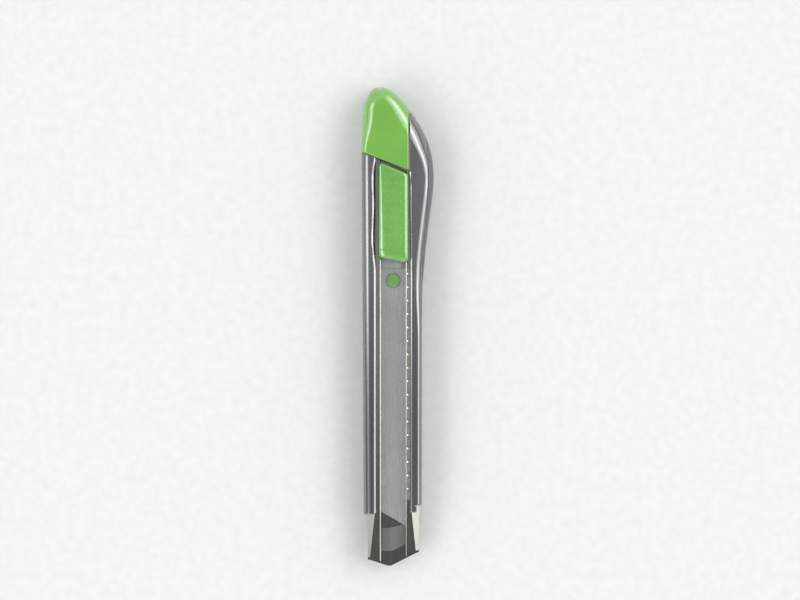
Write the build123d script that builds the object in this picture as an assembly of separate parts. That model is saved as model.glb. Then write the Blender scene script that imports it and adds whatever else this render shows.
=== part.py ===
from build123d import *
import math
import os

os.makedirs("parts", exist_ok=True)

# A snap-off blade knife lying on its back. Millimetres, +Z up out of the slider side.
# Shapes are drawn about the blade channel's centre line (X = 0), nose at -Y, tail at +Y,
# and save() moves them to the part's own origin, under the middle of the bounding box.
tail_y = 91.0
nose_y = -91.0
left_x = -12.0
hump_x = 15.3
origin_x = (left_x + hump_x) / 2

# Handle
handle_end_left = -71.2
handle_end_right = -70.3
handle_step_y = -67.6
handle_step_x = 8.9
face_height_nose = 11.4
face_height_tail = 13.9
crown_radius = 62.0
front_rounding = 3.0
back_rounding = 2.2
form_front_y = -80.0
form_height = 20.0
slot_half = 6.55
slot_left_points = [(-slot_half, 20.5), (-6.9, 25.0), (-7.35, 29.0), (-7.2, 47.0), (-6.3, 64.0)]
slot_right_points = [(slot_half, 19.5), (6.55, 23.5), (6.5, 28.0), (6.25, 46.0), (6.1, 56.0)]
slot_rounding = 0.35

# Side grip and back pad
grip_points = [(10.6, 4.0), (11.15, 25.0), (13.3, 55.0), (12.2, 73.4)]
grip_play = 0.06
finger_ribs = 14
finger_rib_first = 27.0
finger_rib_step = 3.1
finger_rib_width = 1.1
finger_rib_depth = 0.45
finger_rib_z = (3.0, 9.2)
pad_left = -8.2
pad_right = 7.4
pad_front = -48.0
pad_rear = 42.0
pad_corner = 3.5
pad_play = 0.1
pad_depth = 1.2
pad_thick = 1.15
pad_grooves = 20
pad_groove_first = -43.0
pad_groove_step = 4.2
pad_groove_width = 1.2
pad_groove_depth = 0.4
pad_groove_margin = 2.4

# End cap: its joint line falls from the left edge to its straight right-hand side
cap_side_x = 6.1
cap_joint_left = 66.1
cap_joint_right = 58.8
cap_gap = 0.2
cap_wall = 1.9
notch_play = 0.3
joint_rounding = 0.5
tenon_play = 0.15
tenon_end = 83.0
tenon_top = 10.4
hollow_end = tenon_end + 1.5
hollow_top = tenon_top + 0.2
core_front = 50.0
core_end_left = -6.5
core_end_right = -2.0

# Blade channel, folded from stainless sheet
sheet = 0.5
channel_half = 9.65
channel_floor = 4.7
channel_top = 8.3
channel_rear = 74.0
lip_edge = 4.7
nose_start = -68.0
nose_left_y = -88.4
nose_apex_x = -1.5
nose_right_y = -85.6
lip_setback = 1.1
trough_play = 0.1
trough_rear = channel_rear + 0.5
lip_rounding = 0.42
wide_bevel_x = 6.7
slim_bevel_x = 9.2
bevel_angle = 13.8

# Screws from the back
screw_places = [(0, 52.0), (0, -60.0)]
screw_head = 2.55
screw_shank = 1.25
screw_head_low = 0.5
screw_head_high = 1.8
screw_play = 0.1
cross_reach = 1.4
cross_half = 0.3
cross_top = 1.2

# Lock windows in the right lip, one for each stop of the slider
pitch = 5.1
stops = 17
first_window = 22.7
window_length = 3.9
window_left = 5.15
window_right = 6.35
window_rounding = 0.4
web_crown = 0.9
web_rise = 0.16

# Blade
blade_half = 9.0
blade_length = 100.0
blade_thick = 0.5
blade_rear = 21.9
blade_z = 6.15
bevel_width = 1.4
segment = 10.0
score_lines = 8
snap_angle = 30.0
stud_y = 17.5
stud_radius = 2.57
stud_top = 7.5
stud_rounding = 0.35
hole_radius = 2.8

# Slider
slider_half = 8.8
plate_tip_y = 13.2
plate_tip_half = 6.0
plate_shoulder_y = 17.0
plate_bottom = 5.3
plate_top = 6.1
base_bottom = 6.15
base_top = 7.0
base_front = 25.5
base_rear = 57.0
base_window_rear = 50.0
neck_left = -4.4
neck_right = 3.0
neck_front = 28.0
neck_rear = 56.0
neck_top = 10.2
latch_front = 38.0
latch_rear = 46.0
latch_low = 8.5
latch_high = 9.9
latch_depth = 0.8
leaf_front = 21.8
leaf_rear = 56.5
leaf_left = 3.3
leaf_right = 6.6
leaf_bottom = 7.02
leaf_top = 7.42
tooth_front = 22.0
tooth_rear = 24.4
tooth_play = 0.15
seat_gap = 0.02
button_bottom = 9.35
button_shoulder = 12.1
button_top = 14.5
button_ceiling = 12.5
button_rounding = 0.6
dot_rows = 9
dot_columns = 4
dot_first_x = -3.0
dot_first_y = 57.4
dot_step_x = 1.84
dot_step_y = 3.3
dot_radius = 0.6
dot_height = 0.22
rivet_places = [(-6.2, 33.0), (-6.2, 53.0), (5.0, 53.5)]
rivet_radius = 0.8
rivet_head = 1.4
rivet_hole = 0.85
shank_radius = 1.5
shank_hole = 1.55

# Reach of cutting shapes: anything beyond the part will do
far = 130.0


def save(shape, name):
    """Write one node in the part's own frame."""
    export_step(Pos(-origin_x, 0, 0) * shape, f"parts/{name}.step")


def block(x0, x1, y0, y1, z0, z1):
    """Box between two corners."""
    middle = Pos((x0 + x1) / 2, (y0 + y1) / 2, (z0 + z1) / 2)
    return middle * Box(x1 - x0, y1 - y0, z1 - z0)


def prism(points, z0, z1):
    """Straight-sided outline pushed up from z0 to z1."""
    face = Face(Wire.make_polygon([(x, y, z0) for x, y in points], close=True))
    return extrude(face, amount=z1 - z0, dir=(0, 0, 1))


def section(points, y):
    """Face across the knife at y, from its (x, z) corners."""
    return Face(Wire.make_polygon([(x, y, z) for x, z in points], close=True))


def rod(radius, x, y, z0, z1):
    """Upright cylinder."""
    return Pos(x, y, (z0 + z1) / 2) * Cylinder(radius, z1 - z0)


def cap_joint_y(x):
    """Joint line between the handle and the end cap."""
    slope = (cap_joint_right - cap_joint_left) / (cap_side_x - left_x)
    return cap_joint_left + slope * (x - left_x)


# ---- Handle ----


def tail_curve():
    """Outline round the cap, down the hump and into the straight right side."""
    points = [
        (left_x, 62.0),
        (-11.6, 79.0),
        (-9.6, 87.6),
        (-5.7, tail_y),
        (0.1, 88.6),
        (cap_side_x, 82.1),
        (11.4, 74.0),
        (14.6, 64.6),
        (hump_x, 56.0),
        (14.0, 43.0),
        (12.0, 26.0),
        (10.9, 8.0),
    ]
    return Spline(*points, tangents=[(0, 1), (0, -1)])


def envelope():
    """Handle and end cap as one rounded form, longer than the handle at the nose."""
    curve = tail_curve()
    right_end = (10.8, form_front_y)
    left_end = (-11.2, form_front_y)
    sides = [
        Line(left_end, curve @ 0),
        curve,
        Line(curve @ 1, right_end),
        Line(right_end, left_end),
    ]
    outline = Face(Wire(sides))
    rise = face_height_tail - face_height_nose
    tilt = math.degrees(math.atan2(rise, tail_y - handle_end_left))
    crown = Pos(0, 0, -crown_radius) * Cylinder(crown_radius, 3 * far, rotation=(90, 0, 0))
    crown = Pos(0, handle_end_left, face_height_nose) * Rot(tilt, 0, 0) * crown
    form = (extrude(outline, amount=form_height, dir=(0, 0, 1)) & crown).solid()

    def along(edge):
        return edge.center().Y > form_front_y + 1 and abs(edge.tangent_at(0.5).Z) < 0.5

    form = fillet([e for e in form.edges() if along(e) and e.center().Z > 5], front_rounding)
    return fillet([e for e in form.edges() if along(e) and e.center().Z < 0.01], back_rounding)


def cap_zone(gap):
    """Space of the end cap, drawn back from the handle by the gap."""
    side = cap_side_x - gap
    corners = [
        (-far, cap_joint_y(-far) + gap),
        (side, cap_joint_y(side) + gap),
        (side, tail_y + far),
        (-far, tail_y + far),
    ]
    return prism(corners, -1, far)


def cap_core(inset, z0, z1, end):
    """Tongue under the end cap, or the cap's hollow, by its inset from the outside."""
    left = left_x + inset
    right = cap_side_x - inset + 0.2
    corners = [
        (left, core_front),
        (right, core_front),
        (right, end - 8.0),
        (core_end_right, end),
        (core_end_left, end),
        (left, end - 5.0),
    ]
    return prism(corners, z0, z1)


def handle_end():
    """Everything in front of the stepped end of the handle."""
    corners = [
        (-far, -far),
        (far, -far),
        (far, handle_step_y),
        (handle_step_x, handle_step_y),
        (handle_step_x, handle_end_right),
        (left_x, handle_end_left),
        (-far, handle_end_left),
    ]
    return prism(corners, -1, far)


def slider_slot(z0, z1):
    """Slot between the rails, wider round the parked slider and open at both ends."""
    left = Spline(*slot_left_points, tangents=[(0, 1), (0.3, 1)])
    right = Spline(*slot_right_points, tangents=[(0, 1), (-0.1, 1)])
    rear_left = slot_left_points[-1][0]
    corners = [right @ 1, (cap_side_x, 58.4), (cap_side_x, far), (rear_left, far), left @ 1]
    rear = [Line(p, q) for p, q in zip(corners, corners[1:])]
    nose = [slot_left_points[0], (-slot_half, -far), (slot_half, -far), slot_right_points[0]]
    front = [Line(p, q) for p, q in zip(nose, nose[1:])]
    face = Pos(0, 0, z0) * Face(Wire([left, right] + rear + front))
    return extrude(face, amount=z1 - z0, dir=(0, 0, 1))


def grip_zone(shift):
    """Crescent on the outside of the hump that the soft side grip fills."""
    inner = Spline(*[(x + shift, y) for x, y in grip_points])
    front_corner = (far, grip_points[0][1])
    rear_corner = (far, grip_points[-1][1])
    sides = [Line(inner @ 1, rear_corner), Line(rear_corner, front_corner), Line(front_corner, inner @ 0)]
    face = Pos(0, 0, -1) * Face(Wire([inner] + sides))
    return extrude(face, amount=far, dir=(0, 0, 1))


def pad_outline(inset, z0, z1):
    """Rounded panel in the back for the soft pad."""
    panel = block(pad_left + inset, pad_right - inset, pad_front + inset, pad_rear - inset, z0, z1)
    return fillet(panel.edges().filter_by(Axis.Z), pad_corner - inset)


def handle_body(form):
    """One moulding: floor, two rails beside the slot, spine and the tongue under the cap."""
    trough = channel_half + trough_play
    low = channel_floor - trough_play
    high = channel_top + trough_play
    tongue = cap_core(cap_wall + tenon_play, cap_wall + tenon_play, tenon_top, tenon_end) & form
    tongue -= block(left_x, trough, core_front, trough_rear, low, high)
    body = form - handle_end() - cap_zone(0) - grip_zone(0) + tongue
    body -= block(-trough, trough, -far, trough_rear, low, high)
    body -= slider_slot(channel_top, far)

    def on_rim(edge):
        return edge.length > 10 and abs(edge.center().X) < 8.2 and edge.bounding_box().min.Z > 10.9

    body = fillet([e for e in body.edges() if on_rim(e)], slot_rounding)
    body -= pad_outline(0, -1, pad_depth)
    seat = screw_head_high + screw_play
    for x, y in screw_places:
        body -= rod(screw_head + screw_play, x, y, -1, seat)
        body -= rod(screw_shank + screw_play, x, y, seat, high)
    return body


def side_grip(form):
    """Soft crescent on the hump, with finger ribs down its side."""
    grip = form & grip_zone(grip_play)
    skin = grip - Pos(-finger_rib_depth, 0, 0) * form
    half = finger_rib_width / 2
    for i in range(finger_ribs):
        middle = finger_rib_first + finger_rib_step * i
        grip -= skin & block(0, far, middle - half, middle + half, *finger_rib_z)
    return grip


def back_pad():
    """Soft pad in the back, with cross grooves."""
    pad = pad_outline(pad_play, 0, pad_thick)
    left = pad_left + pad_groove_margin
    right = pad_right - pad_groove_margin
    half = pad_groove_width / 2
    for i in range(pad_grooves):
        middle = pad_groove_first + pad_groove_step * i
        pad -= block(left, right, middle - half, middle + half, -1, pad_groove_depth)
    return pad


def channel_screws():
    """Cross-head screws from the back into the channel's floor."""
    screws = []
    for x, y in screw_places:
        head = rod(screw_head, x, y, screw_head_low, screw_head_high)
        shank = rod(screw_shank, x, y, screw_head_high, channel_floor + sheet - seat_gap)
        cross = block(x - cross_reach, x + cross_reach, y - cross_half, y + cross_half, 0, cross_top)
        cross += block(x - cross_half, x + cross_half, y - cross_reach, y + cross_reach, 0, cross_top)
        screws.append(head + shank - cross)
    return Compound(screws)


# ---- Blade channel ----


def channel_profile(bevel_x):
    """C section with inward lips; the bevel joins lip and side wall."""
    top = channel_top
    half = channel_half
    bevel_drop = (half - bevel_x) * math.tan(math.radians(bevel_angle))
    inner = half - sheet
    right = [
        (half, channel_floor),
        (half, top - bevel_drop),
        (bevel_x, top),
        (lip_edge, top),
        (lip_edge, top - sheet),
        (bevel_x - 0.1, top - sheet),
        (inner, top - bevel_drop - 0.35),
        (inner, channel_floor + sheet),
    ]
    return right + [(-x, z) for x, z in reversed(right)]


def nose_front(setback, z0, z1):
    """Everything in front of the shallow V that ends the channel."""
    corners = [
        (-far, -far),
        (far, -far),
        (far, nose_right_y + setback),
        (channel_half, nose_right_y + setback),
        (nose_apex_x + 0.7, nose_y + 0.1 + setback),
        (nose_apex_x - 0.7, nose_y + 0.1 + setback),
        (-channel_half, nose_left_y + setback),
        (-far, nose_left_y + setback),
    ]
    return prism(corners, z0, z1)


def blade_channel():
    """Long folded channel; its bevels narrow towards the nose, its right lip is windowed."""
    wide_bevel = channel_profile(wide_bevel_x)
    slim_bevel = channel_profile(slim_bevel_x)
    channel = extrude(section(wide_bevel, channel_rear), amount=channel_rear - nose_start, dir=(0, -1, 0))
    channel += loft([section(wide_bevel, nose_start), section(slim_bevel, nose_y)], ruled=True)
    channel -= nose_front(0, 0, 6.5)
    channel -= nose_front(lip_setback, 6.5, 20)
    for i in range(stops + 1):
        middle = first_window - pitch * i
        front = middle - window_length / 2
        window = block(window_left, window_right, front, front + window_length, channel_top - 1, channel_top + 1)
        channel -= fillet(window.edges().filter_by(Axis.Z), window_rounding)
    for i in range(stops):
        middle = first_window - pitch * (i + 0.5)
        top = channel_top + web_rise
        crown = Pos((window_left + window_right) / 2, middle, top - web_crown) * Sphere(web_crown)
        bead = block(window_left, window_right, middle - 1, middle + 1, channel_top - sheet / 2, top)
        channel += crown & bead
    for x, y in screw_places:
        channel -= rod(screw_shank + screw_play / 2, x, y, channel_floor - 1, channel_floor + 1)

    def on_lip(edge):
        at = edge.center()
        return edge.length > 10 and abs(abs(at.X) - lip_edge) < 0.01 and at.Z > channel_top - 0.01

    return fillet([e for e in channel.edges() if on_lip(e)], lip_rounding)


def blade_support():
    """Thin leaf on the channel's floor at the nose; its right half rises to steady the blade."""
    floor = channel_floor + sheet
    crease = -1.8
    edge = 8.6
    thick = 0.28
    rise = 0.5
    profile = [
        (-edge, floor),
        (crease, floor),
        (edge, floor + rise),
        (edge, floor + rise + thick),
        (crease, floor + thick),
        (-edge, floor + thick),
    ]
    outline = [
        (-edge, -76.6),
        (-1.4, -76.6),
        (edge, -73.9),
        (edge, -80.4),
        (-0.4, -85.3),
        (-edge, -85.3),
    ]
    leaf = extrude(section(profile, -70), amount=20, dir=(0, -1, 0))
    return leaf & prism(outline, 0, 20)


# ---- Blade ----


def blade():
    """Snap-off blade: square tail with a hole, slanted score lines and a ground edge."""
    z0 = blade_z
    z1 = blade_z + blade_thick
    middle = (z0 + z1) / 2
    land = blade_half - bevel_width
    profile = [
        (-blade_half, z0),
        (land, z0),
        (blade_half, middle - 0.03),
        (blade_half, middle + 0.03),
        (land, z1),
        (-blade_half, z1),
    ]
    tip_y = blade_rear - blade_length
    slant = math.tan(math.radians(snap_angle))
    strip = extrude(section(profile, blade_rear), amount=blade_length, dir=(0, -1, 0))
    corners = [
        (-20, tip_y + slant * (20 + blade_half)),
        (20, tip_y - slant * (20 - blade_half)),
        (20, -200),
        (-20, -200),
    ]
    strip -= prism(corners, 0, 20)
    strip -= rod(hole_radius, 0, stud_y, 5, 8)
    front_y = tip_y + slant * blade_half
    groove = Box(24, 0.22, 0.14)
    for i in range(1, score_lines + 1):
        for z in (z0, z1):
            strip -= Pos(0, front_y + segment * i, z) * Rot(0, 0, -snap_angle) * groove
    return strip


# ---- Slider ----


def holder_plate():
    """Steel plate under the slider that carries the stud and the blade's tail."""
    corners = [
        (-slider_half, base_rear),
        (-slider_half, plate_shoulder_y),
        (-plate_tip_half, plate_tip_y),
        (plate_tip_half, plate_tip_y),
        (slider_half, plate_shoulder_y),
        (slider_half, base_rear),
    ]
    plate = prism(corners, plate_bottom, plate_top)
    plate -= rod(shank_hole, 0, stud_y, 0, far)
    for x, y in rivet_places:
        plate -= rod(rivet_hole, x, y, 0, far)
    return plate


def blade_stud():
    """Round stud through the blade's hole, with its shank set in the plate."""
    head = rod(stud_radius, 0, stud_y, plate_top + seat_gap, stud_top)
    head = fillet(head.edges().sort_by(Axis.Z)[-1:], stud_rounding)
    return head + rod(shank_radius, 0, stud_y, plate_bottom, plate_top + seat_gap)


def slider_carriage():
    """Base that runs in the channel and a neck that rises through the slot."""
    base = block(-slider_half, slider_half, base_front, base_rear, base_bottom, base_top)
    base -= block(leaf_left - 0.1, leaf_right + 0.6, 0, base_window_rear, 0, far)
    neck = block(neck_left, neck_right, neck_front, neck_rear, base_top, neck_top)
    neck -= block(neck_left - 1, neck_left + latch_depth, latch_front, latch_rear, latch_low, latch_high)
    for x, y in rivet_places:
        base -= rod(rivet_hole, x, y, 0, far)
    return base + neck


def slider_rivets():
    """Rivets through plate and carriage; one also holds the lock spring."""
    rivets = []
    for x, y in rivet_places:
        seat = leaf_top if x > 0 else base_top
        shank = rod(rivet_radius, x, y, plate_bottom, seat + seat_gap)
        rivets.append(shank + rod(rivet_head, x, y, seat + seat_gap, seat + 0.3))
    return Compound(rivets)


def lock_spring():
    """Flat leaf beside the neck; its tooth stands up into a window of the right lip."""
    leaf = block(leaf_left, leaf_right, leaf_front, leaf_rear, leaf_bottom, leaf_top)
    left = window_left + tooth_play
    tooth = block(left, window_right - tooth_play, tooth_front, tooth_rear, leaf_top, channel_top)
    x, y = rivet_places[-1]
    return leaf + tooth - rod(rivet_hole, x, y, 0, far)


def button_outline(rear_left, rear_right, front_right, front_left, z):
    """Four-sided face of the button at height z."""
    corners = [rear_left, rear_right, front_right, front_left]
    return Face(Wire.make_polygon([(x, y, z) for x, y in corners], close=True))


def slider_button():
    """Thumb button: slanted ends, bevelled sides and front, and rows of small dots."""
    rim = [(-5.7, 62.6), (5.9, 57.9), (5.9, 23.9), (-5.7, 26.2)]
    shoulder = button_outline(*rim, button_shoulder)
    crown = button_outline((-4.8, 61.6), (4.9, 57.6), (4.4, 28.0), (-3.4, 29.9), button_top)
    button = extrude(shoulder, amount=button_shoulder - button_bottom, dir=(0, 0, -1))
    button += loft([shoulder, crown], ruled=True)
    button = fillet([e for e in button.edges() if e.center().Z > button_bottom + 0.1], button_rounding)
    hollow = (neck_left - 0.2, 4.6, neck_front - 0.3, neck_rear + 0.3)
    button -= block(*hollow, button_bottom - 1, button_ceiling)
    lug_x = (hollow[0] - 0.1, neck_left + latch_depth - 0.15)
    lug = block(*lug_x, latch_front + 1, latch_rear - 1, latch_high - 0.5, latch_high - 0.1)
    finger = block(3.4, 4.35, 25.6, 28.4, leaf_top + 0.13, button_bottom + 1)
    button += lug + finger
    for row in range(dot_rows):
        for column in range(dot_columns):
            x = dot_first_x + dot_step_x * column
            y = dot_first_y - dot_step_y * row - 0.12 * x
            button += Pos(x, y, button_top + dot_height - dot_radius) * Sphere(dot_radius)
    return button


def button_spring():
    """Arched leaf between the carriage's neck and the button's ceiling."""
    low = neck_top + seat_gap
    high = button_ceiling - seat_gap
    thick = 0.3
    middle = 42.0
    reach = 11.0
    ends = (middle - reach, middle + reach)
    lower = ThreePointArc((0, ends[0], low), (0, middle, high - thick), (0, ends[1], low))
    upper = ThreePointArc((0, ends[0], low + thick), (0, middle, high), (0, ends[1], low + thick))
    sides = [Line(lower @ 0, upper @ 0), Line(lower @ 1, upper @ 1)]
    face = Pos(-3.0, 0, 0) * Face(Wire([lower, sides[0], upper, sides[1]]))
    return extrude(face, amount=4.0, dir=(1, 0, 0))


# ---- End cap ----


def end_cap(form):
    """Rounded hollow cap that draws off backwards, notched on the right for the channel."""
    cap = form & cap_zone(cap_gap)

    def on_joint(edge):
        at = edge.center()
        return at.X > cap_side_x - cap_gap - 0.01 or abs(at.Y - cap_joint_y(at.X) - cap_gap) < 0.3

    cap = fillet([e for e in cap.edges() if on_joint(e)], joint_rounding)
    cap -= cap_core(cap_wall, cap_wall, hollow_top, hollow_end)
    side = channel_half + trough_play
    low = channel_floor - notch_play
    cap -= block(0, side, core_front, channel_rear + 1.5, low, channel_top + notch_play)
    return cap


form = envelope()
save(handle_body(form), "handle_body")
save(side_grip(form), "side_grip")
save(back_pad(), "back_pad")
save(channel_screws(), "channel_screws")
save(blade_channel(), "blade_channel")
save(blade_support(), "blade_support")
save(blade(), "blade")
save(holder_plate(), "holder_plate")
save(blade_stud(), "blade_stud")
save(slider_carriage(), "slider_carriage")
save(slider_rivets(), "slider_rivets")
save(lock_spring(), "lock_spring")
save(slider_button(), "slider_button")
save(button_spring(), "button_spring")
save(end_cap(form), "end_cap")
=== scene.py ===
"""Looks of the snap-off blade knife: materials, floor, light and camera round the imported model.

Metres, +Z up. The knife lies on its back with its nose towards -Y and the slider towards +Z.
"""

import math

import bmesh
import bpy
import numpy as np
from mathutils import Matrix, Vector
from mathutils.geometry import delaunay_2d_cdt


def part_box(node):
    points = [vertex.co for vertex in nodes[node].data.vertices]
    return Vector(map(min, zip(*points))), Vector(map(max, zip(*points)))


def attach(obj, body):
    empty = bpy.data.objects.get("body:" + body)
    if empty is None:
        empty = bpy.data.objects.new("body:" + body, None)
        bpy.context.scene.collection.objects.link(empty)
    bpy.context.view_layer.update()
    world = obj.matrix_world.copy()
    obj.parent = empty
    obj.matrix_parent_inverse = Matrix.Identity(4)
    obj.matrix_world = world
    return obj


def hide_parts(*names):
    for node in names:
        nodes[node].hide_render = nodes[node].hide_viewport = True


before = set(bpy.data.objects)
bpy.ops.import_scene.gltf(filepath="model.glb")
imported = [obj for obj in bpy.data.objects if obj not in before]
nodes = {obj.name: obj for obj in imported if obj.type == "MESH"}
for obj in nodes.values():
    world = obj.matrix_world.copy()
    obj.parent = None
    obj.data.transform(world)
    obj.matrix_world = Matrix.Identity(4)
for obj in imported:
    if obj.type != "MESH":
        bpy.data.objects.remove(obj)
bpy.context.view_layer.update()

# ---- Shape, in millimetres about the channel's centre line, nose towards -Y ----
mm = 0.001
channel_low, channel_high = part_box("blade_channel")
centre_x = (channel_low[0] + channel_high[0]) / 2 / mm

# Outline of the whole handle; the tail is a smooth curve through its points
tail_y = 91.0
left_x = -12.0
hump_x = 15.3
plan_end = -80.0
left_taper = 0.8
right_taper = 0.1
tail_points = [
    (left_x, 62.0),
    (-11.6, 79.0),
    (-9.6, 87.6),
    (-5.7, tail_y),
    (0.1, 88.6),
    (6.1, 82.1),
    (11.4, 74.0),
    (14.6, 64.6),
    (hump_x, 56.0),
    (14.0, 43.0),
    (12.0, 26.0),
    (10.9, 8.0),
]
end_left = -71.2
end_right = -70.3
step_x = 8.9
step_y = -67.6

# Front face and its roundings; each pair says between which y the radius changes
face_nose = 11.4
face_tail = 13.9
crown_radius = 62.0
rail_rounding = 2.8
slim_rounding = 1.8
joint_rounding = 1.9
hump_rounding = 3.4
cap_rounding = 4.6
tail_rounding = 7.6
cap_swell = (66.0, 79.0)
hump_swell = (-5.0, 30.0)
tail_swell = (55.0, 79.0)
most_fall = 5.6
back_rounding = 2.2
end_round = 0.3

# Slot along the front, with a bevel on each edge
slot_half = 6.55
slot_left_points = [(-slot_half, 20.5), (-6.9, 25.0), (-7.35, 29.0), (-7.2, 47.0), (-6.3, 64.0)]
slot_right_points = [(slot_half, 19.5), (6.55, 23.5), (6.5, 28.0), (6.25, 46.0), (6.1, 56.0)]
slot_left_lead = (0.3, 1)
slot_right_lead = (-0.1, 1)
slot_right_end = 58.4
slot_bevel_left = 0.85
slot_bevel_right = 0.7
slot_bevel_angle = 31.0
bevel_soft = 0.08
bevel_round = 0.12
bevel_margin = 0.1

# Seam of the soft crescent, and the finger ribs down its side
seam_points = [(10.6, 4.0), (11.15, 25.0), (13.3, 55.0), (12.2, 73.4)]
seam_leads = [(0.02, 1), (-0.15, 1)]
rib_first = 27.0
rib_step = 3.1
rib_count = 14
rib_half = 0.55
rib_soft = (0.25, 0.1)
rib_depth = 0.42
rib_z = (3.0, 9.2)
rib_rows = (2.4, 9.9, 0.3)

# Trough for the channel, pad recess and screw holes
trough_half = 9.75
trough_floor = 4.6
trough_top = 8.4
trough_rear = 74.5
pad_left = -8.2
pad_right = 7.4
pad_front = -48.0
pad_rear = 42.0
pad_corner = 3.5
pad_depth = 1.2
screw_places = [(0.0, 52.0), (0.0, -60.0)]
screw_seat = 1.9
head_hole = 2.65
shank_hole = 1.35

# End cap and the tongue that it slides on
cap_side = 6.1
joint_left = 66.1
joint_right = 58.8
joint_gap = 0.2
joint_round = 0.5
cap_wall = 1.9
hollow_top = 10.6
notch_rear = trough_rear + 1
tongue_points = [(-9.95, 50.0), (4.25, 50.0), (4.25, 75.0), (-2.0, 83.0), (-6.5, 83.0), (-9.95, 78.0)]
tongue_low = 2.05
tongue_top = 10.4

# Thumb button; its sides fall away over a width that changes from rear to front
button_corners = [(-5.7, 62.6), (5.95, 57.9), (5.95, 23.9), (-5.7, 26.2)]
button_corner_rounds = [1.6, 0.8, 1.9, 1.1]
button_area = (-6.0, 6.2, 23.5, 63.0)
button_length = 36.0
button_low = 9.4
button_top = 14.5
button_least = 0.5
button_ceiling = 13.4
button_wall = 1.2
button_skin = 0.8
button_edge = 0.55
button_fall = 1.7
button_falls = [(1.6, 0.0), (2.3, -0.4), (3.6, 0.0), (1.1, 2.2)]
camber_half = 9.0
camber_fall = 0.4
dot_rows = 9
dot_columns = 4
dot_first = (-3.0, 57.4)
dot_step = (1.84, 3.3)
dot_slant = 0.12
dot_height = 0.1
dot_rings = (0.16, 0.32, 0.46)

# Fineness of the meshes; distances are only worked out within the reach
line_step = 0.8
curve_step = 0.7
coarse_step = 1.0
handle_grid = 1.6
cap_grid = 0.9
button_grid = 0.34
row_share = 0.87
arc_points = 9
circle_points = 32
dot_points = 8
grid_start = -72.0
grid_clear = 0.6
ring_clear = 0.3
skin_rings = 16
bevel_rings = 8
joint_rings = 5
end_rings = 3
reach = 9.0
far = 30.0
beyond = 200.0
touch = 1e-4
side_touch = 1e-3
merge = 1e-5
skin_tolerance = 0.002
least_facing = 0.01
corner_pull = 0.02
slope_step = 0.003
sharp_angle = 32.0
weld = 0.0002

# ---- Camera and light, in metres ----
camera_height = 1.2
view_centre = Vector((0.0009, 0.0101, 0.0))
view_width = 0.304
outline_height = 0.006
sensor_width = 36.0
floor_half = 1.5
floor_drop = 0.0002
light_strength = 4.75

# Levels of the surround by its lean across the knife, in degrees from straight up
crosswise_levels = [
    (-88, 0.03),
    (-83, 0.06),
    (-76, 0.36),
    (-62, 0.42),
    (-55, 1.05),
    (-44, 1.05),
    (-38, 0.4),
    (-30, 0.25),
    (-22, 0.085),
    (0, 0.075),
    (24, 0.075),
    (29, 0.44),
    (42, 0.48),
    (45, 1.15),
    (58, 1.15),
    (63, 0.46),
    (77, 0.4),
    (83, 0.06),
    (88, 0.03),
]

# The two ends of the surround are even; the walls stand a little turned
end_level = 0.2
wall_turn = 0.35
wall_ends = (0.42, 0.66)

# Factors by the heading's lengthwise part; the right-hand wall follows them less
lengthwise_levels = [
    (-0.2, 1.0),
    (-0.13, 0.4),
    (-0.08, 0.12),
    (-0.055, 0.2),
    (-0.03, 0.85),
    (-0.012, 1.15),
    (0.01, 1.15),
    (0.027, 0.75),
    (0.04, 0.65),
    (0.06, 0.7),
    (0.2, 1.0),
]
lengthwise_reach = 0.2
right_share = 0.55
right_start = (0.35, 0.6)


# ---- Node helpers ----

noise_range = (0.3, 0.7)


def add(tree, kind, inputs=None, **settings):
    """New shader node with its settings and unlinked input values."""
    made = tree.nodes.new(kind)
    for name, value in settings.items():
        setattr(made, name, value)
    for name, value in (inputs or {}).items():
        made.inputs[name].default_value = value
    return made


def new_material(name, **inputs):
    """Principled material with constant values set on the shader's own sockets."""
    material = bpy.data.materials.new(name)
    material.use_nodes = True
    shader = material.node_tree.nodes["Principled BSDF"]
    for socket, value in inputs.items():
        shader.inputs[socket.replace("_", " ")].default_value = value
    return material, material.node_tree, shader


def stretched_noise(tree, scale, stretch=(1, 1, 1), detail=3.0, roughness=0.5):
    """Noise in the object's own space; stretch below 1 lengthens it along that axis."""
    place = add(tree, "ShaderNodeTexCoord")
    mapping = add(tree, "ShaderNodeMapping", {"Scale": stretch})
    noise = add(tree, "ShaderNodeTexNoise", {"Scale": scale, "Detail": detail, "Roughness": roughness})
    tree.links.new(place.outputs["Object"], mapping.inputs["Vector"])
    tree.links.new(mapping.outputs["Vector"], noise.inputs["Vector"])
    return noise.outputs["Fac"]


def spread(tree, value, low, high, source=noise_range):
    """Maps a value from its source range to the range low to high."""
    ranged = add(
        tree,
        "ShaderNodeMapRange",
        {"From Min": source[0], "From Max": source[1], "To Min": low, "To Max": high},
    )
    tree.links.new(value, ranged.inputs["Value"])
    return ranged.outputs["Result"]


def blend_colours(tree, value, first, second):
    """Colour that runs from first to second as a noise value rises."""
    ramp = add(tree, "ShaderNodeValToRGB")
    for stop, place, colour in zip(ramp.color_ramp.elements, noise_range, (first, second)):
        stop.position = place
        stop.color = (*colour, 1)
    tree.links.new(value, ramp.inputs["Fac"])
    return ramp.outputs["Color"]


def bump(tree, shader, value, strength, distance, under=None):
    """Adds a relief to the shader, on top of an earlier one if given."""
    relief = add(tree, "ShaderNodeBump", {"Strength": strength, "Distance": distance})
    tree.links.new(value, relief.inputs["Height"])
    if under:
        tree.links.new(under, relief.inputs["Normal"])
    tree.links.new(relief.outputs["Normal"], shader.inputs["Normal"])
    return relief.outputs["Normal"]


def tint(colour, factor):
    """Darker or lighter shade of a colour."""
    return tuple(min(1.0, c * factor) for c in colour)


# ---- Mesh helpers: plans in millimetres about the channel's centre line ----


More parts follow.
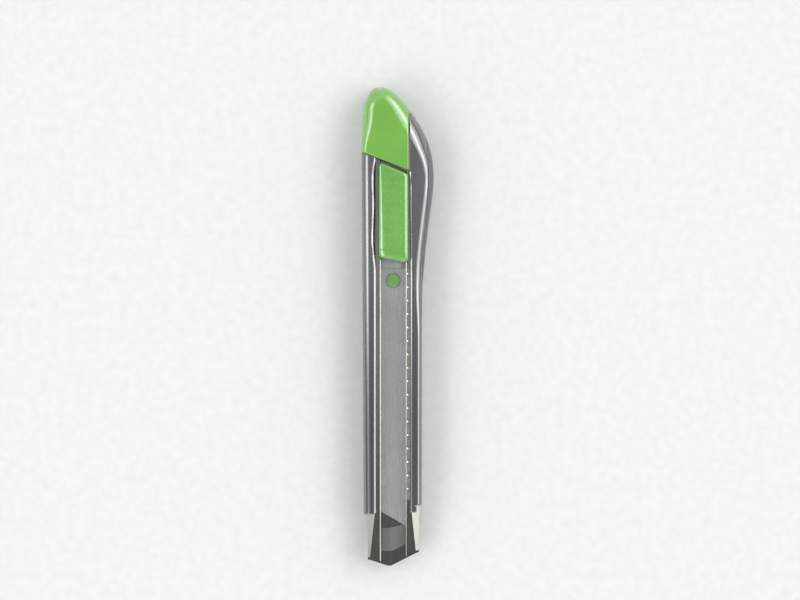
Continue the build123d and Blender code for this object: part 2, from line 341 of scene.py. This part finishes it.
def spline(points, start, end, step):
    """Smooth curve through the points with the given end directions, sampled about every step."""
    knots = np.array(points, float)
    gaps = np.linalg.norm(np.diff(knots, axis=0), axis=1)
    count = len(knots)
    matrix = np.eye(count)
    slopes = np.zeros((count, 2))
    slopes[0] = start
    slopes[-1] = end
    for i in range(1, count - 1):
        before, after = gaps[i - 1], gaps[i]
        matrix[i, i - 1 : i + 2] = after, 2 * (before + after), before
        rise = after * (knots[i] - knots[i - 1]) / before + before * (knots[i + 1] - knots[i]) / after
        slopes[i] = 3 * rise
    slopes = np.linalg.solve(matrix, slopes)
    curve = []
    for i in range(count - 1):
        steps = max(2, round(gaps[i] / step))
        for t in np.arange(steps) / steps:
            place = (2 * t**3 - 3 * t**2 + 1) * knots[i] + (3 * t**2 - 2 * t**3) * knots[i + 1]
            pull = (t**3 - 2 * t**2 + t) * slopes[i] + (t**3 - t**2) * slopes[i + 1]
            curve.append(place + gaps[i] * pull)
    return np.array(curve + [knots[-1]])


def divided(points, step):
    """Straight runs through the points, with a point about every step."""
    line = [np.array(points[0], float)]
    for first, last in zip(points, points[1:]):
        first, last = np.array(first, float), np.array(last, float)
        count = max(1, round(np.linalg.norm(last - first) / step))
        line += [first + (last - first) * (i + 1) / count for i in range(count)]
    return np.array(line)


def distance(points, line):
    """Distance from each point to the nearest place on the line; endless beyond the reach."""
    best = np.full(len(points), np.inf)
    order = np.argsort(points[:, 1])
    heights = points[order, 1]
    for first, last in zip(line, line[1:]):
        run = last - first
        ends = sorted((first[1], last[1]))
        near = order[np.searchsorted(heights, ends[0] - reach) : np.searchsorted(heights, ends[1] + reach)]
        place = points[near] - first
        share = np.clip(place @ run / max(run @ run, 1e-12), 0, 1)
        best[near] = np.minimum(best[near], np.linalg.norm(place - share[:, None] * run, axis=1))
    return best


def inside(points, ring):
    """Which points lie within the closed ring."""
    hit = np.zeros(len(points), bool)
    x, y = points[:, 0], points[:, 1]
    for (x0, y0), (x1, y1) in zip(ring, np.roll(ring, -1, axis=0)):
        if y0 != y1:
            crosses = (y0 > y) != (y1 > y)
            hit ^= crosses & (x < (x1 - x0) * (y - y0) / (y1 - y0) + x0)
    return hit


def drop(radius, away):
    """How far a rounded edge has fallen at a distance from the edge."""
    over = np.clip(radius - away, 0, radius)
    return radius - np.sqrt(np.maximum(radius**2 - over**2, 0))


def bevelled(width, degrees, away):
    """How far a flat bevel has fallen at a distance from the edge, with a soft start."""
    over = np.clip(width - away, 0, width)
    fall = math.tan(math.radians(degrees)) * (np.sqrt(over**2 + bevel_soft**2) - bevel_soft)
    return fall + drop(bevel_round, away)


def offsets(line, radius, rings, both=False):
    """Rows of points beside a line, closer together towards it; radius may vary along the line."""
    ahead = np.gradient(line, axis=0)
    ahead /= np.linalg.norm(ahead, axis=1)[:, None]
    side = np.stack([ahead[:, 1], -ahead[:, 0]], axis=1)
    rows = []
    for i in range(1, rings + 1):
        away = radius * (1 - math.cos(math.pi / 2 * i / rings))
        away = np.broadcast_to(away, len(line))[:, None]
        rows.append(line + side * away)
        if both:
            rows.append(line - side * away)
    return np.concatenate(rows)


def triangulated(lines, points):
    """Plan triangles that keep every line; returns the points, the triangles and their middles."""
    places = []
    edges = []
    for line in lines:
        start = len(places)
        places += [Vector(p) for p in line]
        edges += [(start + i, start + i + 1) for i in range(len(line) - 1)]
    places += [Vector(p) for p in points]
    result = delaunay_2d_cdt(places, edges, [], 0, merge)
    plan = np.array([tuple(p) for p in result[0]])
    triangles = np.array([f for f in result[2] if len(f) == 3])
    return plan, triangles, plan[triangles].mean(axis=1)


def rectangle(x0, x1, y0, y1):
    """Corners of an upright rectangle."""
    return np.array([(x0, y0), (x1, y0), (x1, y1), (x0, y1)], float)


def circle(place, radius):
    """Closed ring of points about a place."""
    turns = np.arange(circle_points) * math.pi / (circle_points / 2)
    return np.array(place) + radius * np.column_stack([np.cos(turns), np.sin(turns)])


def rounded_ring(corners, rounds):
    """Closed outline through the corners, each rounded with its own radius."""
    ring = []
    for i, radius in enumerate(rounds):
        corner = np.array(corners[i])
        before = corners[i - 1] - corner
        after = corners[(i + 1) % len(corners)] - corner
        before, after = before / np.linalg.norm(before), after / np.linalg.norm(after)
        half = math.acos(before @ after) / 2
        inward = (before + after) / np.linalg.norm(before + after)
        middle = corner + inward * radius / math.sin(half)
        start = corner + before * radius / math.tan(half) - middle
        end = corner + after * radius / math.tan(half) - middle
        sweep = math.acos(np.clip(start @ end / radius**2, -1, 1))
        for t in np.linspace(0, 1, arc_points):
            arc = (math.sin((1 - t) * sweep) * start + math.sin(t * sweep) * end) / math.sin(sweep)
            ring.append(middle + arc)
    ring.append(ring[0])
    return divided(ring, curve_step)[:-1]


def spread_points(x0, x1, y0, y1, step):
    """Even triangular grid of points over a rectangle."""
    rows = []
    for row, y in enumerate(np.arange(y0, y1, step * row_share)):
        shift = 0.5 * step * (row % 2)
        rows += [(x, y) for x in np.arange(x0 + shift, x1, step)]
    return np.array(rows)


def layered_mesh(name, plan, triangles, levels, filled, top):
    """Closed mesh over a plan, under the height function top.

    filled[k] marks the triangles with material between levels k and k + 1.
    """
    count = len(plan)
    highest = top(plan)
    levels = [np.clip(z + 0 * highest, levels[0], highest) for z in levels + [highest]]
    layers = range(len(filled))
    empty = np.zeros(len(triangles), bool)
    faces = []
    for k in range(len(levels)):
        below = filled[k - 1] if k > 0 else empty
        above = filled[k] if k < len(filled) else empty
        faces += (triangles[below & ~above] + k * count).tolist()
        faces += (triangles[above & ~below][:, ::-1] + k * count).tolist()
    owner = {}
    for index, (a, b, c) in enumerate(triangles.tolist()):
        owner[a, b] = owner[b, c] = owner[c, a] = index
    for (a, b), index in owner.items():
        beyond = owner.get((b, a))
        for k in layers:
            if filled[k][index] and (beyond is None or not filled[k][beyond]):
                low, high = k * count, (k + 1) * count
                faces.append([a + low, b + low, b + high, a + high])
    verts = np.concatenate([np.column_stack([plan, z]) for z in levels])
    piece = piece_from(name, verts, faces)
    smooth_top(piece.data, top)
    return piece


def smooth_top(mesh, top):
    """Exact normals for the upper skin, so that its highlights run evenly."""
    verts = np.empty(len(mesh.vertices) * 3)
    mesh.vertices.foreach_get("co", verts)
    verts = verts.reshape(-1, 3) / mm - (centre_x, 0, 0)
    owners = np.empty(len(mesh.loops), int)
    mesh.loops.foreach_get("vertex_index", owners)
    counts = np.empty(len(mesh.polygons), int)
    mesh.polygons.foreach_get("loop_total", counts)
    facing = np.empty(len(mesh.polygons) * 3)
    mesh.polygons.foreach_get("normal", facing)
    middles = np.empty(len(mesh.polygons) * 3)
    mesh.polygons.foreach_get("center", middles)
    middles = middles.reshape(-1, 3) / mm - (centre_x, 0, 0)
    face_of = np.repeat(np.arange(len(counts)), counts)
    off_skin = abs(verts[:, 2] - top(verts[:, :2])) > skin_tolerance
    on_skin = np.ones(len(counts), bool)
    on_skin[face_of[off_skin[owners]]] = False
    on_skin &= facing.reshape(-1, 3)[:, 2] > least_facing
    chosen = on_skin[face_of]
    corners = verts[owners[chosen], :2]
    corners = corners + corner_pull * (middles[face_of[chosen], :2] - corners)
    slopes = [
        (top(corners + side) - top(corners - side)) / (2 * slope_step)
        for side in ((slope_step, 0), (0, slope_step))
    ]
    exact = np.column_stack([-slopes[0], -slopes[1], np.ones(len(corners))])
    normals = np.empty(len(mesh.loops) * 3)
    mesh.corner_normals.foreach_get("vector", normals)
    normals = normals.reshape(-1, 3)
    normals[chosen] = exact / np.linalg.norm(exact, axis=1)[:, None]
    mesh.normals_split_custom_set(normals.tolist())


def piece_from(name, verts, faces):
    """New object from millimetre points, welded and smooth where it bends gently."""
    mesh = bpy.data.meshes.new(name)
    place = (np.asarray(verts) + (centre_x, 0, 0)) * mm
    mesh.from_pydata(place.tolist(), [], faces)
    work = bmesh.new()
    work.from_mesh(mesh)
    bmesh.ops.remove_doubles(work, verts=work.verts, dist=weld * mm)
    bmesh.ops.dissolve_degenerate(work, edges=work.edges, dist=weld * mm)
    loose = [v for v in work.verts if not v.link_faces]
    bmesh.ops.delete(work, geom=loose, context="VERTS")
    work.to_mesh(mesh)
    work.free()
    mesh.shade_smooth()
    mesh.set_sharp_from_angle(angle=math.radians(sharp_angle))
    piece = bpy.data.objects.new(name, mesh)
    bpy.context.scene.collection.objects.link(piece)
    return piece


def finish_piece(piece, material, node, body):
    """Material and body of a piece that stands for a CAD node; the node itself is hidden."""
    piece.data.materials.append(material)
    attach(piece, body)
    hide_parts(node)


# ---- Handle, side grip and end cap share one rounded form ----


def joint_y(x):
    """Joint line between handle and end cap."""
    return joint_left + (joint_right - joint_left) * (x - left_x) / (cap_side - left_x)


def ease(value, low, high):
    """0 below low, 1 above high, smooth between."""
    t = np.clip((value - low) / (high - low), 0, 1)
    return t * t * (3 - 2 * t)


def left_radius(points):
    """Rounding of the handle's front edge up the left side."""
    return rail_rounding + 0 * points[:, 1]


def cap_left_radius(points):
    """Rounding up the left side of the end cap: tight at the joint, broad at the tail."""
    return joint_rounding + (cap_rounding - joint_rounding) * ease(points[:, 1], *cap_swell)


def right_radius(points):
    """Rounding of the front edge down the right side: broad at the tail, tight along the rail."""
    y = points[:, 1]
    hump = slim_rounding + (hump_rounding - slim_rounding) * ease(y, *hump_swell)
    return hump + (tail_rounding - hump_rounding) * ease(y, *tail_swell)


def crown(points):
    """Height of the gently crowned front face."""
    x, y = points[:, 0], points[:, 1]
    rise = (face_tail - face_nose) * (y - end_left) / (tail_y - end_left)
    return face_nose + rise - crown_radius + np.sqrt(crown_radius**2 - x**2)


class Form:
    """Plan of the whole handle, with its lines and the heights of its rounded skin."""

    def __init__(self):
        self.left = left_radius
        tail = spline(tail_points, (0, 1), (0, -1), curve_step)
        left = divided([(left_x + left_taper, plan_end), tail_points[0]], line_step)
        right = divided([tail_points[-1], (tail_points[-1][0] - right_taper, plan_end)], line_step)
        self.outline = np.concatenate([left[:-1], tail, right[1:]])
        tip = int(np.argmax(self.outline[:, 1]))
        self.left_side = self.outline[: tip + 1]
        self.right_side = self.outline[tip:]
        self.slot_left = self.rail_edge(-slot_half, slot_left_points, slot_left_lead)
        right_edge = self.rail_edge(slot_half, slot_right_points, slot_right_lead)
        self.slot_right = np.concatenate([right_edge, [(cap_side, slot_right_end)]])
        self.seam = spline(seam_points, *seam_leads, line_step)
        joint = [(-far, joint_y(-far)), (cap_side, joint_right), (cap_side, tail_y + far)]
        self.joint = divided(joint, coarse_step)
        self.cap_joint = self.joint + (-joint_gap, joint_gap)
        self.end = [
            (-far, end_left),
            (left_x, end_left),
            (step_x, end_right),
            (step_x, step_y),
            (far, step_y),
        ]
        self.trough = rectangle(-trough_half, trough_half, plan_end, trough_rear)
        self.pad = rounded_ring(rectangle(pad_left, pad_right, pad_front, pad_rear), [pad_corner] * 4)
        self.tongue = np.array(tongue_points)
        self.heads = [circle(place, head_hole) for place in screw_places]
        self.shanks = [circle(place, shank_hole) for place in screw_places]

    def rail_edge(self, x, points, direction):
        """Edge of the slot: straight from the nose, then curved round the parked slider."""
        straight = divided([(x, plan_end), points[0]], line_step)
        return np.concatenate([straight[:-1], spline(points, (0, 1), direction, coarse_step)])

    def skin(self, points):
        """Height of the rounded front over the plan."""
        fall = 0
        for side, radius in ((self.left_side, self.left), (self.right_side, right_radius)):
            away = distance(points, side)
            away[away < touch] = 0
            wide = radius(points)
            fall = fall + drop(wide, away) * np.minimum(wide, most_fall) / wide
        return crown(points) - fall

    def build(self, lines, points, grid_step):
        """Triangulate the plan with these lines kept."""
        grid = spread_points(left_x, hump_x, grid_start, tail_y, grid_step)
        for line in lines + points + [self.outline]:
            grid = grid[distance(grid, line) > grid_clear]
        rings = []
        for side, radius in ((self.left_side, self.left), (self.right_side, right_radius)):
            rings.append(offsets(side, radius(side), skin_rings))
            grid = grid[distance(grid, side) > radius(grid) + ring_clear]
        points = np.concatenate(points + rings + [grid])
        keep = inside(points, self.outline)
        self.plan, self.triangles, self.middles = triangulated([self.outline] + lines, points[keep])
        away = distance(self.plan, self.outline)
        away[away < touch] = 0
        self.bottom = drop(back_rounding, away)

    def build_handle(self):
        """Plan with every line that the handle and the side grip need."""
        end = divided(self.end, coarse_step)
        rings = [self.grip_ring(), self.trough, self.pad, self.tongue] + self.heads + self.shanks
        lines = [self.slot_left, self.slot_right, self.joint, end]
        lines += [divided(np.concatenate([ring, ring[:1]]), line_step) for ring in rings]
        points = [
            offsets(self.slot_left, -slot_bevel_left - bevel_margin, bevel_rings),
            offsets(self.slot_right, slot_bevel_right + bevel_margin, bevel_rings),
        ]
        points += [offsets(line, end_round, end_rings, both=True) for line in (self.joint, self.seam, end)]
        self.build(lines, points, handle_grid)

    def build_cap(self):
        """Plan with the cap's joint line only, so that nothing marks its dome."""
        self.left = cap_left_radius
        joint_points = offsets(self.cap_joint, joint_round, joint_rings, both=True)
        self.build([self.cap_joint], [joint_points], cap_grid)

    def grip_ring(self):
        """Outline of the soft crescent on the hump."""
        low, high = self.seam[0][1], self.seam[-1][1]
        return np.concatenate([self.seam, [(far, high), (far, low)]])

    def behind(self, joint):
        """Which plan triangles lie behind a joint line."""
        return inside(self.middles, np.concatenate([joint, [(-far, beyond)]]))


def make_handle(form, material):
    """Handle moulding: floor, rails, trough for the channel, back recess, screw holes and tongue."""
    form.build_handle()
    m = form.middles
    within = inside(m, form.outline)
    front = inside(m, np.array(form.end + [(far, -beyond), (-far, -beyond)]))
    grip = inside(m, form.grip_ring())
    handle = within & ~form.behind(form.joint) & ~front & ~grip
    slot = inside(m, np.concatenate([form.slot_left, form.slot_right[::-1]]))
    trough = inside(m, form.trough)
    tongue = inside(m, form.tongue) & form.behind(form.joint)
    heads = np.any([inside(m, ring) for ring in form.heads], axis=0)
    shanks = np.any([inside(m, ring) for ring in form.shanks], axis=0)
    rails = handle & ~slot

    def top(points):
        """Height of this piece's front over the plan."""
        edges = bevelled(slot_bevel_left, slot_bevel_angle, distance(points, form.slot_left))
        edges += bevelled(slot_bevel_right, slot_bevel_angle, distance(points, form.slot_right))
        ends = np.minimum(distance(points, form.joint), distance(points, np.array(form.end)))
        ends = np.minimum(ends, distance(points, form.grip_ring()))
        return form.skin(points) - edges - drop(end_round, ends)

    levels = [form.bottom, pad_depth, screw_seat, tongue_low, trough_floor, trough_top, tongue_top]
    filled = [
        handle & ~inside(m, form.pad) & ~heads,
        handle & ~heads,
        handle & ~shanks,
        (handle | tongue) & ~shanks,
        (rails & ~trough) | (tongue & (m[:, 1] > trough_rear)),
        rails | (tongue & (m[:, 0] < slot_left_points[-1][0])),
        rails,
    ]
    piece = layered_mesh("handle_shell", form.plan, form.triangles, levels, filled, top)
    finish_piece(piece, material, "handle_body", "handle")


def make_grip(form, material):
    """Soft crescent over the hump, with finger ribs down its side; it shares the handle's plan."""
    grip = inside(form.middles, form.grip_ring()) & inside(form.middles, form.outline)

    def top(points):
        """Height of this piece's front over the plan."""
        return form.skin(points) - drop(end_round, distance(points, form.grip_ring()))

    rows = list(np.arange(*rib_rows))
    levels = [form.bottom] + rows
    piece = layered_mesh("grip_crescent", form.plan, form.triangles, levels, [grip] * len(levels), top)
    verts = np.array([v.co for v in piece.data.vertices]) / mm - (centre_x, 0, 0)
    row_low, row_high = rib_z
    low_side = (verts[:, 2] > row_low) & (verts[:, 2] < row_high)
    out = (distance(verts[:, :2], form.outline) < side_touch) & low_side
    phase = (verts[:, 1] - rib_first) / rib_step
    beside = abs(phase - np.clip(np.round(phase), 0, rib_count - 1)) * rib_step
    depth = rib_depth * (1 - ease(beside, rib_half - rib_soft[0], rib_half + rib_soft[1])) * out
    for vertex, inward in zip(piece.data.vertices, depth):
        vertex.co.x -= inward * mm
    finish_piece(piece, material, "side_grip", "handle")


def make_cap(form, material):
    """End cap with its hollow and the notch for the channel."""
    form.build_cap()
    m = form.middles
    cap = form.behind(form.cap_joint) & inside(m, form.outline)
    hollow = distance(m, form.outline) > cap_wall
    hollow &= (m[:, 0] < cap_side - cap_wall) | ((m[:, 0] > 0) & (m[:, 1] < notch_rear))

    def top(points):
        """Height of this piece's front over the plan."""
        return form.skin(points) - drop(joint_round, distance(points, form.cap_joint))

    levels = [form.bottom, cap_wall, hollow_top]
    piece = layered_mesh("cap_shell", form.plan, form.triangles, levels, [cap, cap & ~hollow, cap], top)
    finish_piece(piece, material, "end_cap", "cap")


# ---- Slider button ----


def make_button(material):
    """Pillowed thumb button with rounded corners and rows of small dots."""
    ring = rounded_ring(button_corners, button_corner_rounds)
    edge = np.concatenate([ring, ring[:1]])
    grid = spread_points(*button_area, button_grid)
    dots = [
        (dot_first[0] + dot_step[0] * column, dot_first[1] - dot_step[1] * row)
        for row in range(dot_rows)
        for column in range(dot_columns)
    ]
    dots = np.array([(x, y - dot_slant * x) for x, y in dots])
    points = [offsets(edge, -button_edge, bevel_rings), grid[distance(grid, edge) > ring_clear], dots]
    for radius in dot_rings:
        for turn in np.arange(dot_points) * math.pi / (dot_points / 2):
            points.append(dots + radius * np.array([math.cos(turn), math.sin(turn)]))
    points = np.concatenate(points)
    plan, triangles, middles = triangulated([edge], points[inside(points, ring)])
    sides = [np.array([a, b]) for a, b in zip(button_corners, button_corners[1:] + button_corners[:1])]

    def top(points):
        """Height of this piece's front over the plan."""
        x, y = points[:, 0], points[:, 1]
        share = np.clip((button_corners[0][1] - y) / button_length, 0, 1)
        camber = (x / camber_half) ** 2 * camber_fall
        height = button_top - drop(button_edge, distance(points, edge)) - camber
        for (rear, change), side in zip(button_falls, sides):
            width = rear + change * share
            height -= drop(width, distance(points, side)) * button_fall / width
        near = np.min([np.hypot(x - dx, y - dy) for dx, dy in dots], axis=0)
        height += dot_height * np.cos(np.clip(near / dot_rings[-1], 0, 1) * math.pi / 2) ** 2
        return np.maximum(height, button_low + button_least)

    within = inside(middles, ring)
    hollow = (distance(middles, edge) > button_wall) & within
    levels = [button_low + 0 * plan[:, 0], np.minimum(button_ceiling, top(plan) - button_skin)]
    piece = layered_mesh("thumb_button", plan, triangles, levels, [within & ~hollow, within], top)
    finish_piece(piece, material, "slider_button", "button")


# ---- Materials ----


def moulded_plastic(name, colour, roughness, coat_index):
    """Injection-moulded plastic: glossy skin, faint mottling, slight orange peel and soft scuffs."""
    material, tree, shader = new_material(
        name, IOR=1.5, Specular_IOR_Level=0.5, Coat_Weight=1.0, Coat_Roughness=0.08, Coat_IOR=coat_index
    )
    mottle = stretched_noise(tree, scale=90, detail=4)
    tree.links.new(
        blend_colours(tree, mottle, tint(colour, 0.94), tint(colour, 1.06)), shader.inputs["Base Color"]
    )
    scuffs = stretched_noise(tree, scale=500, stretch=(1, 0.7, 1), detail=4, roughness=0.6)
    gloss = spread(tree, scuffs, low=roughness * 0.92, high=roughness * 1.1)
    tree.links.new(gloss, shader.inputs["Roughness"])
    peel = bump(tree, shader, stretched_noise(tree, scale=420, detail=1), strength=0.05, distance=0.00012)
    grain = stretched_noise(tree, scale=5200, detail=2)
    bump(tree, shader, grain, strength=0.02, distance=0.00005, under=peel)
    return material


def soft_rubber(name, colour):
    """Satin elastomer with a fine pebble grain."""
    material, tree, shader = new_material(
        name, Specular_IOR_Level=0.7, Coat_Weight=0.8, Coat_Roughness=0.3, Coat_IOR=1.9
    )
    mottle = stretched_noise(tree, scale=150, detail=4)
    tree.links.new(
        blend_colours(tree, mottle, tint(colour, 0.85), tint(colour, 1.2)), shader.inputs["Base Color"]
    )
    tree.links.new(spread(tree, mottle, low=0.55, high=0.75), shader.inputs["Roughness"])
    place = add(tree, "ShaderNodeTexCoord")
    pebbles = add(tree, "ShaderNodeTexVoronoi", {"Scale": 2600.0}, feature="SMOOTH_F1")
    tree.links.new(place.outputs["Object"], pebbles.inputs["Vector"])
    bump(tree, shader, pebbles.outputs["Distance"], strength=0.35, distance=0.00012)
    return material


def drawn_steel(name, colour, roughness, grain=(1, 0.02, 1), lines=0.12, metal=1.0):
    """Steel with a directional grain; grain's small axis is the way the lines run."""
    material, tree, shader = new_material(name, Metallic=metal)
    cloud = stretched_noise(tree, scale=60, detail=3)
    tree.links.new(
        blend_colours(tree, cloud, tint(colour, 0.93), tint(colour, 1.05)), shader.inputs["Base Color"]
    )
    fine = stretched_noise(tree, scale=6000, stretch=grain, detail=3, roughness=0.6)
    sheen = spread(tree, fine, low=roughness * 0.75, high=roughness * 1.3)
    tree.links.new(sheen, shader.inputs["Roughness"])
    bump(tree, shader, fine, strength=lines, distance=0.00003)
    return material


def paint_nodes():
    """Gives each CAD node its finished material."""
    handle = moulded_plastic("handle_plastic", (0.056, 0.061, 0.064), roughness=0.28, coat_index=2.2)
    cap = moulded_plastic("cap_plastic", (0.145, 0.38, 0.048), roughness=0.24, coat_index=1.8)
    slider = moulded_plastic("slider_plastic", (0.13, 0.355, 0.06), roughness=0.26, coat_index=1.8)
    rubber = soft_rubber("grip_rubber", (0.05, 0.054, 0.057))
    channel = drawn_steel("channel_steel", (0.56, 0.55, 0.51), roughness=0.14, lines=0.05)
    blade = drawn_steel(
        "blade_steel", (0.79, 0.8, 0.795), roughness=0.25, grain=(1, 0.015, 1), lines=0.05, metal=0.85
    )
    plate = drawn_steel("plate_steel", (0.66, 0.66, 0.65), roughness=0.4, metal=0.6)
    support = drawn_steel("support_steel", (0.3, 0.3, 0.28), roughness=0.35, metal=0.75)
    spring = drawn_steel("spring_steel", (0.6, 0.61, 0.63), roughness=0.25)
    screw = drawn_steel("screw_steel", (0.6, 0.6, 0.6), roughness=0.3, grain=(1, 1, 1))
    finishes = {
        "handle_body": handle,
        "side_grip": rubber,
        "back_pad": rubber,
        "channel_screws": screw,
        "blade_channel": channel,
        "blade_support": support,
        "blade": blade,
        "holder_plate": plate,
        "blade_stud": slider,
        "slider_carriage": slider,
        "slider_rivets": screw,
        "lock_spring": spring,
        "slider_button": slider,
        "button_spring": spring,
        "end_cap": cap,
    }
    for name, material in finishes.items():
        slots = nodes[name].data.materials
        if not slots:
            slots.append(material)
        for i in range(len(slots)):
            slots[i] = material
    return finishes


# ---- Stage ----


def make_floor():
    """Plain pale floor under the knife."""
    corners = [(x, y, 0) for x, y in rectangle(-floor_half, floor_half, -floor_half, floor_half)]
    mesh = bpy.data.meshes.new("floor")
    mesh.from_pydata(corners, [], [(0, 1, 2, 3)])
    floor = bpy.data.objects.new("floor", mesh)
    floor.location.z = -floor_drop
    bpy.context.scene.collection.objects.link(floor)
    material, tree, shader = new_material("floor_paper", Roughness=0.8)
    fibres = stretched_noise(tree, scale=300, detail=6)
    paper = blend_colours(tree, fibres, (0.65, 0.65, 0.655), (0.69, 0.69, 0.69))
    tree.links.new(paper, shader.inputs["Base Color"])
    mesh.materials.append(material)


def level_ramp(tree, value, levels):
    """Grey level that follows the value smoothly through (place, level) stops."""
    ramp = add(tree, "ShaderNodeValToRGB")
    ramp.color_ramp.interpolation = "EASE"
    stops = ramp.color_ramp.elements
    for i, (place, level) in enumerate(levels):
        stop = stops[i] if i < 2 else stops.new(place)
        stop.position = place
        stop.color = (level, level, level, 1)
    tree.links.new(value, ramp.inputs["Fac"])
    return ramp.outputs["Color"]


def make_surround():
    """Soft light walls on both sides, dark overhead and in a thin line at the floor's edge."""
    world = bpy.data.worlds.new("surround")
    world.use_nodes = True
    tree = world.node_tree
    heading = add(tree, "ShaderNodeTexCoord")
    split = add(tree, "ShaderNodeSeparateXYZ")
    lean = add(tree, "ShaderNodeMath", operation="ARCTAN2")
    tree.links.new(heading.outputs["Generated"], split.inputs["Vector"])
    tree.links.new(split.outputs["X"], lean.inputs[0])
    tree.links.new(split.outputs["Z"], lean.inputs[1])
    across = spread(tree, lean.outputs[0], low=0, high=1, source=(-math.pi / 2, math.pi / 2))
    walls = level_ramp(tree, across, [((degrees + 90) / 180, level) for degrees, level in crosswise_levels])
    turned = add(tree, "ShaderNodeMath", {1: -wall_turn}, operation="MULTIPLY_ADD")
    tree.links.new(split.outputs["X"], turned.inputs[0])
    tree.links.new(split.outputs["Y"], turned.inputs[2])
    ends = add(tree, "ShaderNodeMath", operation="ABSOLUTE")
    tree.links.new(turned.outputs[0], ends.inputs[0])
    mix = add(tree, "ShaderNodeMix", {"B": (end_level, end_level, end_level, 1)}, data_type="RGBA")
    tree.links.new(spread(tree, ends.outputs[0], low=0, high=1, source=wall_ends), mix.inputs["Factor"])
    tree.links.new(walls, mix.inputs["A"])
    lengthwise = spread(
        tree, split.outputs["Y"], low=0, high=1, source=(-lengthwise_reach, lengthwise_reach)
    )
    stops = [((y / lengthwise_reach + 1) / 2, level) for y, level in lengthwise_levels]
    dim = add(tree, "ShaderNodeVectorMath", operation="SCALE")
    tree.links.new(mix.outputs["Result"], dim.inputs["Vector"])
    even = add(tree, "ShaderNodeMix", {"B": 1.0})
    share = spread(tree, split.outputs["X"], low=0, high=right_share, source=right_start)
    tree.links.new(share, even.inputs["Factor"])
    tree.links.new(level_ramp(tree, lengthwise, stops), even.inputs["A"])
    tree.links.new(even.outputs["Result"], dim.inputs["Scale"])
    tree.links.new(dim.outputs["Vector"], tree.nodes["Background"].inputs["Color"])
    tree.nodes["Background"].inputs["Strength"].default_value = light_strength
    bpy.context.scene.world = world
    bpy.context.scene.view_settings.view_transform = "Standard"


def make_camera():
    """Long lens straight above the knife, with the tail at the top of the picture."""
    data = bpy.data.cameras.new("camera")
    data.sensor_width = sensor_width
    data.lens = (camera_height - outline_height) * sensor_width / view_width
    data.clip_end = 10
    camera = bpy.data.objects.new("camera", data)
    camera.location = view_centre + Vector((0, 0, camera_height))
    bpy.context.scene.collection.objects.link(camera)
    bpy.context.scene.camera = camera


make_camera()
finishes = paint_nodes()
form = Form()
make_handle(form, finishes["handle_body"])
make_grip(form, finishes["side_grip"])
make_cap(form, finishes["end_cap"])
make_button(finishes["slider_button"])
make_floor()
make_surround()
